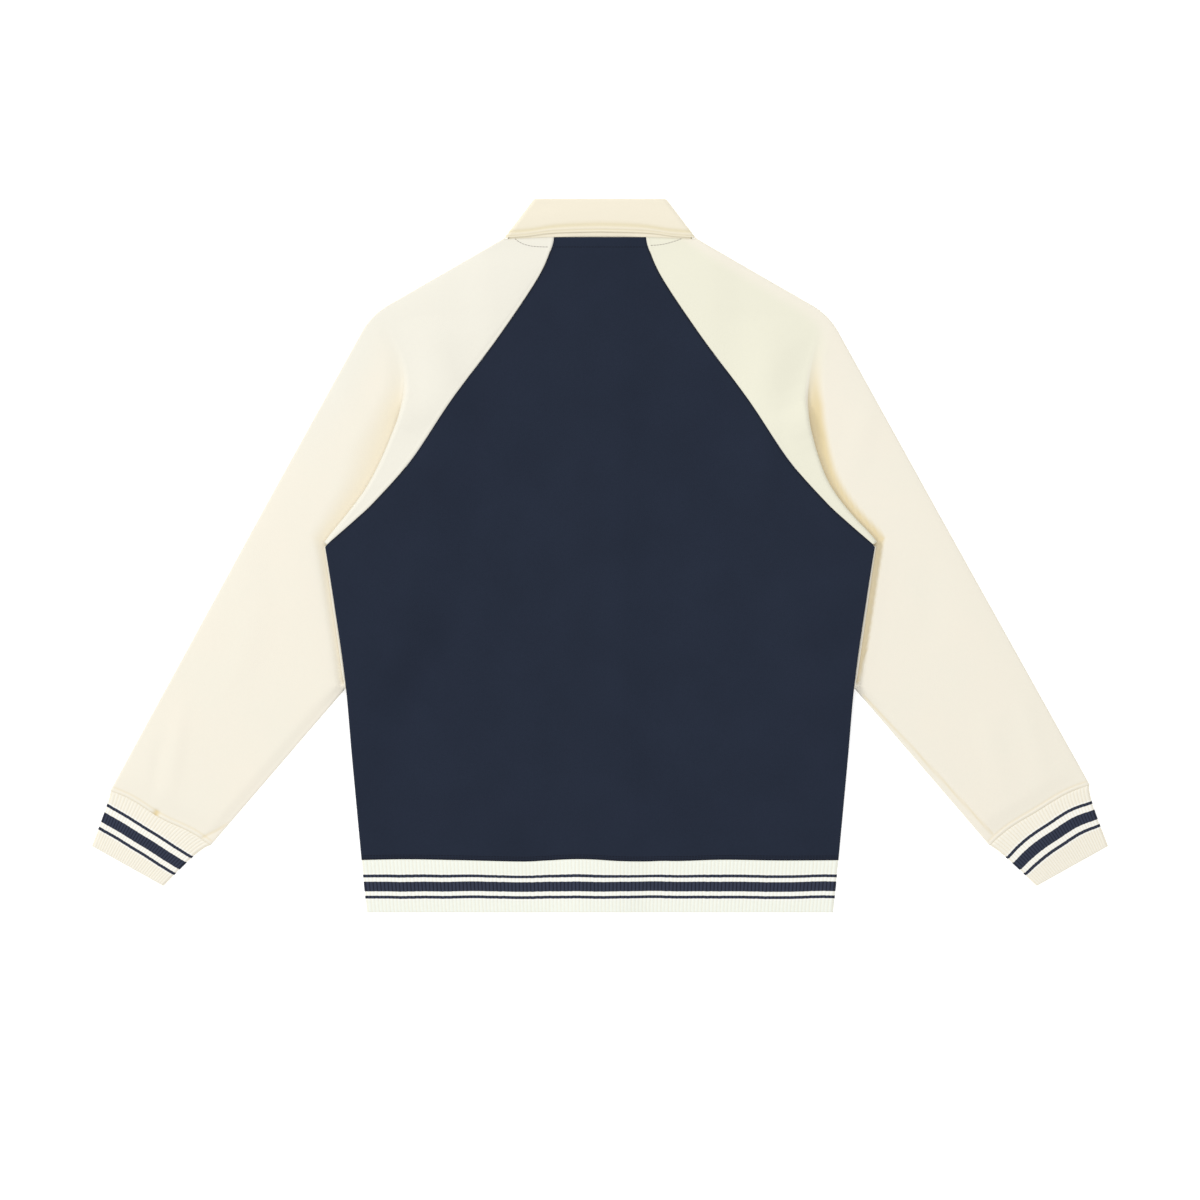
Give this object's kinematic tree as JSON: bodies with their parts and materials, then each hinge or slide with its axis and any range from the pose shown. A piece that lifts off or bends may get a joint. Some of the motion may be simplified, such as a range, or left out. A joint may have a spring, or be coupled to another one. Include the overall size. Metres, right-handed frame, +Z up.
{
  "type": "varsity jacket",
  "caption": "Raglan jacket laid flat on its front, back up, with a folded collar and striped rib hem and cuffs, its arms tucked a little under the body.",
  "frame": {"origin": "bottom centre of the jacket's box, on the surface that it lies on", "axes": "+X to the right of the back view, across both sleeves; +Y from the hem to the collar; +Z up from the surface, out of the back panel"},
  "size_m": [1.067, 0.7494, 0.0145],
  "materials": {
    "navy_cloth": "matt navy cotton jersey with a brushed back",
    "cream_cloth": "matt warm ivory cotton jersey with a brushed back",
    "cream_rib": "cream rib knit with knitted-in navy stripes",
    "cream_collar": "matt warm ivory cotton collar cloth",
    "snap_metal": "satin dark enamel"
  },
  "bodies": {
    "root": {"back_panel": "navy_cloth", "front_left": "navy_cloth", "front_right": "navy_cloth", "sleeve_left": "cream_cloth", "sleeve_right": "cream_cloth", "cuff_left": "cream_rib", "cuff_right": "cream_rib", "hem_rib": "cream_rib", "collar_stand": "cream_collar", "collar_fall": "cream_collar", "snap_1": "snap_metal", "snap_2": "snap_metal", "snap_3": "snap_metal", "snap_4": "snap_metal", "snap_5": "snap_metal", "snap_6": "snap_metal"}
  },
  "joints": []
}
